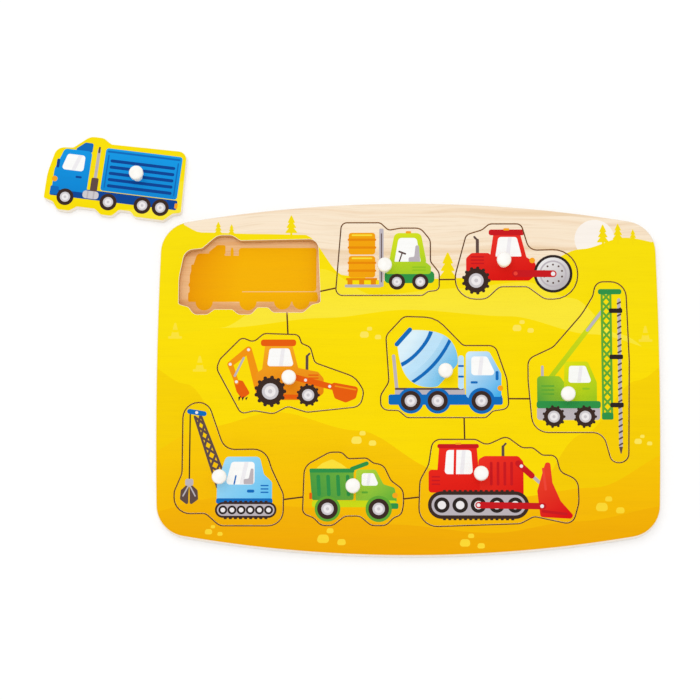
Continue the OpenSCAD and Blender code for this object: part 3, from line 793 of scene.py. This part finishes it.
def peg_paint():
    """White gloss paint on turned wood, with the faint rings of the turning"""
    material, tree, shader = new_material("peg_paint")
    place = node(tree, "TexCoord").outputs["Object"]
    rings = grain(tree, place, (60, 60, 2600), 2.0)
    skin = grain(tree, place, (220, 220, 220), 2.0)
    fill(tree, shader, {
        "Base Color": ramp(tree, skin, [(0.3, linear("f9f6ef")), (0.6, linear("fdfbf7"))]),
        "Roughness": spanned(tree, skin, 0.3, 0.7, 0.26, 0.36),
        "Normal": relief(tree, rings, 0.00003, 0.3),
        "Specular IOR Level": 0.35,
    })
    return material


MATERIALS = {name: printed("ink_" + name, code) for name, code in INKS.items()}
MATERIALS |= {name: printed("ink_" + name, *ground) for name, ground in GROUNDS.items()}
for name, (vehicle, colour, end_colour, start, end) in SHADES.items():
    corner = Vector(piece_corner(vehicle))
    MATERIALS[name] = printed("ink_" + name, colour, end_colour, Vector(start) + corner, Vector(end) + corner)
MATERIALS |= {name: bare_wood(name, *tones) for name, tones in WOODS.items()}
MATERIALS |= {name: layered_edge(name, *tones) for name, tones in EDGES.items()}
MATERIALS["peg_paint"] = peg_paint()


# Sheets: a printed top, rounded edges, layered sides and a flat underside

def face_loops(name, upper):
    """Outlines of a node's top face or underside, in millimetres, with the wood on their left from above"""
    mesh = frame["nodes"][name].data
    mesh.calc_loop_triangles()
    heights = [v.co.z / MM for v in mesh.vertices]
    level = max(heights) if upper else min(heights)
    spots = [(round(v.co.x / MM, 3), round(v.co.y / MM, 3)) for v in mesh.vertices]
    edges = set()
    for triangle in mesh.loop_triangles:
        if max(abs(heights[i] - level) for i in triangle.vertices) < FLAT:
            a, b, c = (spots[i] for i in (triangle.vertices if upper else reversed(triangle.vertices)))
            edges.update([(a, b), (b, c), (c, a)])
    return chained((a, b) for a, b in edges if a != b and (b, a) not in edges)


def chained(edges):
    """Closed loops of directed edges"""
    following = dict(sorted(edges))
    loops = []
    while following:
        start = next(iter(following))
        loop = [start]
        here = following.pop(start)
        while here != start:
            loop.append(here)
            here = following.pop(here)
        loops.append(loop)
    return loops


def moved(loop, out):
    """The loop with every edge moved away from the wood by out"""
    spots = np.array(loop, float)
    along = np.roll(spots, -1, 0) - spots
    along /= np.linalg.norm(along, axis=1)[:, None]
    after = np.stack([along[:, 1], -along[:, 0]], 1)
    before = np.roll(after, 1, 0)
    spread = 1 + np.sum(before * after, 1)
    return spots + out * (before + after) / spread[:, None]


def inside(spots, loops):
    """Which spots lie inside an odd number of the loops"""
    odd = np.zeros(len(spots), bool)
    for loop in loops:
        a = np.array(loop, float)
        b = np.roll(a, -1, 0)
        low, high = a.min(0), a.max(0)
        near = np.nonzero(np.all((spots >= low) & (spots <= high), 1))[0]
        x, y = spots[near, 0], spots[near, 1]
        crossed = np.zeros(len(near), bool)
        for (ax, ay), (bx, by) in zip(a, b):
            if ay != by:
                spans = (ay > y) != (by > y)
                crossed ^= spans & (x < ax + (y - ay) * (bx - ax) / (by - ay))
        odd[near] ^= crossed
    return odd


def cut(loops, outlines=()):
    """The face that the loops bound, cut along the outlines: spots, triangles, and the given spots' numbers.
    The loops are rounded as the cut rounds them, so that no sliver along a straight edge counts as inside"""
    loops = [np.array(loop, np.float32).astype(float) for loop in loops]
    spots, edges = [], []
    for outline in [*loops, *outlines]:
        first, count = len(spots), len(outline)
        spots += [Vector(p) for p in outline]
        edges += [(first + k, first + (k + 1) % count) for k in range(count)]
    made = delaunay_2d_cdt(spots, edges, [], 0, NEAR)
    spots = np.array([tuple(p) for p in made[0]])
    corners = np.array(made[2])
    a, b, c = (spots[corners[:, k]] for k in range(3))
    area = (b - a)[:, 0] * (c - a)[:, 1] - (b - a)[:, 1] * (c - a)[:, 0]
    corners[area < 0] = corners[area < 0][:, ::-1]
    return spots, corners[inside((a + b + c) / 3, loops)], made[3]


def follow(outline, loop, goal):
    """The outline's spots, which lie along the loop, moved to the same places along the goal"""
    a = np.array(loop, float)
    way = np.roll(a, -1, 0) - a
    ends = np.roll(goal, -1, 0)
    placed = []
    for spot in np.array(outline, float):
        share = np.clip(np.sum((spot - a) * way, 1) / np.sum(way * way, 1), 0, 1)
        k = np.argmin(np.linalg.norm(a + way * share[:, None] - spot, axis=1))
        placed.append(goal[k] + (ends[k] - goal[k]) * share[k])
    return placed


def add_object(name, data):
    made = bpy.data.objects.new(name, data)
    bpy.context.scene.collection.objects.link(made)
    return made


class Shell:
    """Corners, faces and the material of each face, in millimetres, before they are a mesh"""

    def __init__(self):
        self.corners, self.faces, self.finishes = [], [], []

    def add_corners(self, spots, height):
        first = len(self.corners)
        self.corners += [(float(x), float(y), height) for x, y in spots]
        return list(range(first, len(self.corners)))

    def add_face(self, corners, finish):
        self.faces.append(tuple(corners))
        self.finishes.append(finish)

    def add_band(self, upper, lower, finishes):
        """Ring of faces between two loops of corners"""
        count = len(upper)
        for k in range(count):
            n = (k + 1) % count
            self.add_face((lower[k], lower[n], upper[n], upper[k]), finishes[k])

    def add_floor(self, loops, finish, upward):
        """Flat face between loops of corners"""
        numbers = [i for loop in loops for i in loop]
        _, triangles, given = cut([[self.corners[i][:2] for i in loop] for loop in loops])
        for triangle in triangles:
            corners = [numbers[given[i][0]] for i in triangle]
            self.add_face(corners if upward else corners[::-1], finish)

    def refinish(self, old, choose):
        """New finishes for the faces that have the old one, by the middle of each face"""
        for k, face in enumerate(self.faces):
            if self.finishes[k] == old:
                self.finishes[k] = choose(np.mean([self.corners[i] for i in face], 0))

    def make(self, name, place=Matrix.Identity(4)):
        """The finished object, with each corner's own place on the board kept as an attribute"""
        mesh = bpy.data.meshes.new(name)
        home = np.array(self.corners, np.float32) * MM
        mesh.from_pydata([tuple(p) for p in home], [], self.faces)
        finishes = sorted(set(self.finishes))
        for finish in finishes:
            mesh.materials.append(MATERIALS[finish])
        mesh.polygons.foreach_set("material_index", [finishes.index(f) for f in self.finishes])
        attribute = mesh.attributes.new("home", "FLOAT_VECTOR", "POINT")
        attribute.data.foreach_set("vector", home.ravel())
        mesh.transform(place)
        level = [len({self.corners[i][2] for i in face}) == 1 for face in self.faces]
        mesh.polygons.foreach_set("use_smooth", [not flat for flat in level])
        mesh.set_sharp_from_angle(angle=SHARP_ANGLE)
        mesh.update()
        return add_object(name, mesh)


# Edge of a sheet: radius and bands of its rounding, the bands that the print runs over, the finishes of the
# bare bands and of the side, and how deep the side goes, or zero where it goes right through
Edge = namedtuple("Edge", "radius bands printed_bands rim side depth", defaults=(0,))


def printed_sheet(loops, low, high, base, shapes, edges):
    """Shell of a sheet, with one kind of edge along its outer loop and one along the inner ones"""
    outer = max(range(len(loops)), key=lambda k: np.ptp(loops[k], 0).prod())
    kinds = [edges["outer" if k == outer else "inner"] for k in range(len(loops))]
    inset = [moved(loop, -kind.radius) for loop, kind in zip(loops, kinds)]
    left_low, right_high = inset[outer].min(0), inset[outer].max(0)
    near = [(ink, outline) for ink, outline in shapes
            if np.all(np.max(outline, 0) > left_low) and np.all(np.min(outline, 0) < right_high)]
    spots, triangles, _ = cut([loop.tolist() for loop in inset], [outline for _, outline in near])
    middles = spots[triangles].mean(1)
    finishes = np.array([base] * len(triangles), dtype="U24")
    for ink, outline in near:
        finishes[inside(middles, [outline])] = ink
    used = np.unique(triangles)
    shell = Shell()
    number = dict(zip(used.tolist(), shell.add_corners(spots[used], high)))
    sides = {}
    for triangle, finish in zip(triangles.tolist(), finishes.tolist()):
        a, b, c = (number[i] for i in triangle)
        shell.add_face((a, b, c), finish)
        sides.update({(a, b): finish, (b, c): finish, (c, a): finish})
    under = []
    for loop in chained((a, b) for a, b in sides if (b, a) not in sides):
        outline = [shell.corners[i][:2] for i in loop]
        own = min(range(len(loops)), key=lambda k: np.min(np.linalg.norm(inset[k] - outline[0], axis=1)))
        edge = kinds[own]
        inks = [sides[(a, b)] for a, b in zip(loop, loop[1:] + loop[:1])]
        upper = loop
        for k in range(edge.bands):
            turn = math.pi / 2 * (k + 1) / edge.bands
            ring = follow(outline, inset[own], moved(inset[own], edge.radius * math.sin(turn)))
            lower = shell.add_corners(ring, high - edge.radius * (1 - math.cos(turn)))
            shell.add_band(upper, lower, inks if k < edge.printed_bands else [edge.rim] * len(loop))
            upper = lower
        foot_height = high - edge.depth if edge.depth else low
        foot = shell.add_corners(follow(outline, inset[own], np.array(loops[own])), foot_height)
        shell.add_band(upper, foot, [edge.side] * len(loop))
        if edge.depth:
            shell.add_floor([foot[::-1]], edge.side, True)
        else:
            under.append(foot)
    shell.add_floor(under, base, False)
    return shell


def finish_piece(made, node_name):
    """The piece rides on its node's body and stands for the node, which is hidden"""
    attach(made, BODIES[node_name])
    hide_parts(node_name)


RECORD = frame["record"]
BODIES = {name: body for body, names in RECORD["behaviour"]["bodies"].items() for name in names}


def truck_place(loops):
    """The way of the loose truck from its pocket to the table, and its outlines back in the pocket"""
    back = Matrix.Rotation(-TRUCK_TURN, 2)
    turned = [[back @ Vector(p) for p in loop] for loop in loops]
    low = np.concatenate(turned).min(0) - SAW_KERF / 2
    shift = Vector(TRUCK_HOME) - Vector(low)
    home = [[tuple(p + shift) for p in loop] for loop in turned]
    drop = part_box(TRUCK)[0].z - SHEET_BOTTOM * MM
    place = (Matrix.Translation((0, 0, drop)) @ Matrix.Rotation(TRUCK_TURN, 4, "Z")
             @ Matrix.Translation((-shift.x * MM, -shift.y * MM, 0)))
    return place, home


LANDSCAPE = landscape()
DRAWINGS = {name: shifted(draw(), *piece_corner(name)) for name, draw in VEHICLES.items()}


def make_frame_sheet():
    edges = {"outer": Edge(RIM_ROUND, RIM_BANDS, PRINTED_RIM_BANDS, "pale_edge", "pale_edge"),
             # Inner rims are dark brown, painted shade for the narrow cuts
             "inner": Edge(SAWN_ROUND, SAWN_BANDS, 0, "sawn_edge", "pocket_edge")}
    loops = face_loops("puzzle_frame", False)
    shell = printed_sheet(loops, SHEET_BOTTOM, SHEET_TOP, "sheet_wood", LANDSCAPE, edges)
    truck_home = np.concatenate(truck_place(face_loops(TRUCK, True))[1])
    pocket_low, pocket_high = truck_home.min(0) - 2 * SAW_KERF, truck_home.max(0) + 2 * SAW_KERF

    def pocket_finish(middle):
        """The rim of the open pocket is pale bare wood. The narrow cuts get a dark brown rim, painted shade
        for the deep slits
        """
        outside = np.any(middle[:2] < pocket_low) or np.any(middle[:2] > pocket_high)
        return "sawn_edge" if outside else "pale_edge"

    shell.refinish("sawn_edge", pocket_finish)
    finish_piece(shell.make("printed_frame"), "puzzle_frame")


def make_backing():
    edges = {"outer": Edge(0.0, 0, 0, "pale_edge", "pale_edge")}
    drawn = [("underprint", outline) for name in VEHICLES for _, outline in DRAWINGS[name]]
    drawn += shifted([("underprint", box(*TRUCK_GAP))], *TRUCK_HOME)
    drawn = shifted(drawn, UNDERPRINT_SHIFT, 0)
    shell = printed_sheet(face_loops("backing_board", True), 0.0, SHEET_BOTTOM, "back_wood", drawn, edges)
    finish_piece(shell.make("backing_sheet"), "backing_board")


def make_piece(name):
    edges = {"outer": Edge(SAWN_ROUND, SAWN_BANDS, 1, "pale_edge", "pale_edge"),
             # Peg hole sides are the tan ply wall with painted shade
             "inner": Edge(0.0, 0, 0, "pale_edge", "pocket_edge", PEG_HOLE_DEPTH)}
    loops, place = face_loops(name, True), Matrix.Identity(4)
    if name == TRUCK:
        place, loops = truck_place(loops)
    shell = printed_sheet(loops, SHEET_BOTTOM, SHEET_TOP, "sheet_wood", LANDSCAPE + DRAWINGS[name], edges)
    finish_piece(shell.make(name + "_print", place), name)


# Pegs: turned on a lathe. The lip under the head is in shares of the head's radius

PEG_SIDES = 64
PEG_SHANK = 4.0
PEG_FOOT = 6.2
PEG_WAIST = 4.6
PEG_HEAD_THICKNESS = 5.0
PEG_DOME = 0.9
PEG_BROW = 1.5
PEG_LIP = 0.84
PEG_LIP_ROUND = 0.25
PEG_STEM_STEPS = 14
PEG_STEP = math.radians(4)


def peg_profile(shank_depth, height):
    """Half outline of a peg, from the middle of its shank's end to the top of its head"""
    stem = height - PEG_HEAD_THICKNESS
    head = PEG_HEAD / 2
    outline = [(0, -shank_depth), (PEG_SHANK / 2, -shank_depth), (PEG_SHANK / 2, 0), (PEG_FOOT / 2, 0)]
    foot = Vector((PEG_FOOT / 2, 0))
    waist = Vector((PEG_WAIST / 2, stem * 0.5))
    lip = Vector((head * PEG_LIP, stem))
    for k in range(1, PEG_STEM_STEPS + 1):
        t = k / PEG_STEM_STEPS
        outline.append(tuple(foot * (1 - t) ** 2 + waist * 2 * t * (1 - t) + lip * t * t))
    lip_radius = head * PEG_LIP_ROUND
    outline += arc(head - lip_radius, stem + lip_radius, lip_radius, -math.pi / 2 * 0.8, 0)
    dome = (head ** 2 + PEG_DOME ** 2) / (2 * PEG_DOME)
    rise = math.sqrt((dome - PEG_BROW) ** 2 - (head - PEG_BROW) ** 2)
    turn = math.atan2(rise, head - PEG_BROW)
    outline += arc(head - PEG_BROW, height - dome + rise, PEG_BROW, 0, turn)
    return outline + arc(0, height - dome, dome, turn, math.pi / 2, PEG_STEP)[1:]


def make_peg(name):
    low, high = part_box(name)
    middle = (low + high) / 2
    foot = low.z / MM + PEG_HOLE_DEPTH
    outline = peg_profile(PEG_HOLE_DEPTH, high.z / MM - foot)
    shell = Shell()
    rings = []
    for radius, height in outline[1:-1]:
        spots = [(middle.x / MM + radius * math.cos(t), middle.y / MM + radius * math.sin(t))
                 for t in (math.tau * k / PEG_SIDES for k in range(PEG_SIDES))]
        rings.append(shell.add_corners(spots, foot + height))
    for lower, upper in zip(rings, rings[1:]):
        shell.add_band(upper, lower, ["peg_paint"] * PEG_SIDES)
    shell.add_face(rings[0][::-1], "peg_paint")
    shell.add_face(rings[-1], "peg_paint")
    finish_piece(shell.make(name + "_turned"), name)


make_backing()
make_frame_sheet()
for vehicle in VEHICLES:
    make_piece(vehicle)
    make_peg(vehicle + "_peg")


# Stage: white table, soft light, camera

TABLE_SIZE = 6.0
TABLE_DROP = 0.0002
TABLE_COLOUR = (0.86, 0.86, 0.87, 1)
TABLE_FADE = (0.4, 1.0)
TABLE_WHITE = (0.16, 0.26)
WORLD_LIGHT = 0.88
LAMP_PLACE = (-0.3, 0.4, 1.8)
LAMP_SIZE = 1.0
LAMP_POWER = 5
CAMERA_DISTANCE = 1.563
CAMERA_TILT = math.radians(80)
CAMERA_TARGET = (-0.0344, 0.0165, SHEET_TOP * MM)
FOCAL_PIXELS = 2627
IMAGE_PIXELS = 700
SENSOR = 36.0


def seen_directly(tree):
    """1 for rays that show the background: straight to the camera, mirrored, or through glass"""
    path = node(tree, "LightPath").outputs
    either = node(tree, "Math", {0: path["Is Camera Ray"], 1: path["Is Glossy Ray"]}, operation="MAXIMUM")
    return node(tree, "Math", {0: either.outputs[0], 1: path["Is Transmission Ray"]},
                operation="MAXIMUM").outputs[0]


def make_table():
    """Plain white table. A little light of its own, for direct rays alone, makes it white and keeps the
    shadows. There is more of it far from the board, so that the table has no horizon"""
    half = TABLE_SIZE / 2
    mesh = bpy.data.meshes.new("table")
    square = [(-half, -half), (half, -half), (half, half), (-half, half)]
    mesh.from_pydata([(x, y, -TABLE_DROP) for x, y in square], [], [(0, 1, 2, 3)])
    table = add_object("table", mesh)
    material, tree, shader = new_material("table_white")
    way = node(tree, "VectorMath", {0: node(tree, "NewGeometry").outputs["Position"]}, operation="LENGTH")
    white = spanned(tree, way.outputs["Value"], *TABLE_FADE, *TABLE_WHITE)
    shown = node(tree, "Math", {0: seen_directly(tree), 1: white}, operation="MULTIPLY")
    fill(tree, shader, {"Base Color": TABLE_COLOUR, "Roughness": 0.9, "Specular IOR Level": 0.0,
                        "Emission Color": WHITE, "Emission Strength": shown.outputs[0]})
    mesh.materials.append(material)


def make_world():
    world = bpy.data.worlds.new("studio")
    bpy.context.scene.world = world
    world.use_nodes = True
    tree = world.node_tree
    strength = spanned(tree, seen_directly(tree), 0, 1, WORLD_LIGHT, 1.0)
    fill(tree, tree.nodes["Background"], {"Strength": strength, "Color": WHITE})


def make_lamp():
    """Square soft light that faces the middle of the board"""
    lamp = bpy.data.lights.new("far_soft_light", "AREA")
    lamp.shape = "SQUARE"
    lamp.size = LAMP_SIZE
    lamp.energy = LAMP_POWER
    made = add_object("far_soft_light", lamp)
    made.location = LAMP_PLACE
    made.rotation_euler = (-Vector(LAMP_PLACE)).to_track_quat("-Z", "Y").to_euler()


def make_camera():
    data = bpy.data.cameras.new("camera")
    data.sensor_width = SENSOR
    data.lens = SENSOR * FOCAL_PIXELS / IMAGE_PIXELS
    made = add_object("camera", data)
    back = Vector((0, -math.cos(CAMERA_TILT), math.sin(CAMERA_TILT)))
    upright = Vector((0, math.sin(CAMERA_TILT), math.cos(CAMERA_TILT)))
    made.location = Vector((0, 0, SHEET_TOP * MM)) + back * CAMERA_DISTANCE
    view = (Vector(CAMERA_TARGET) - made.location).normalized()
    right = view.cross(upright).normalized()
    made.rotation_euler = Matrix((right, right.cross(view), -view)).transposed().to_euler()
    bpy.context.scene.camera = made


make_table()
make_world()
make_lamp()
make_camera()
bpy.context.scene.view_settings.view_transform = "Standard"
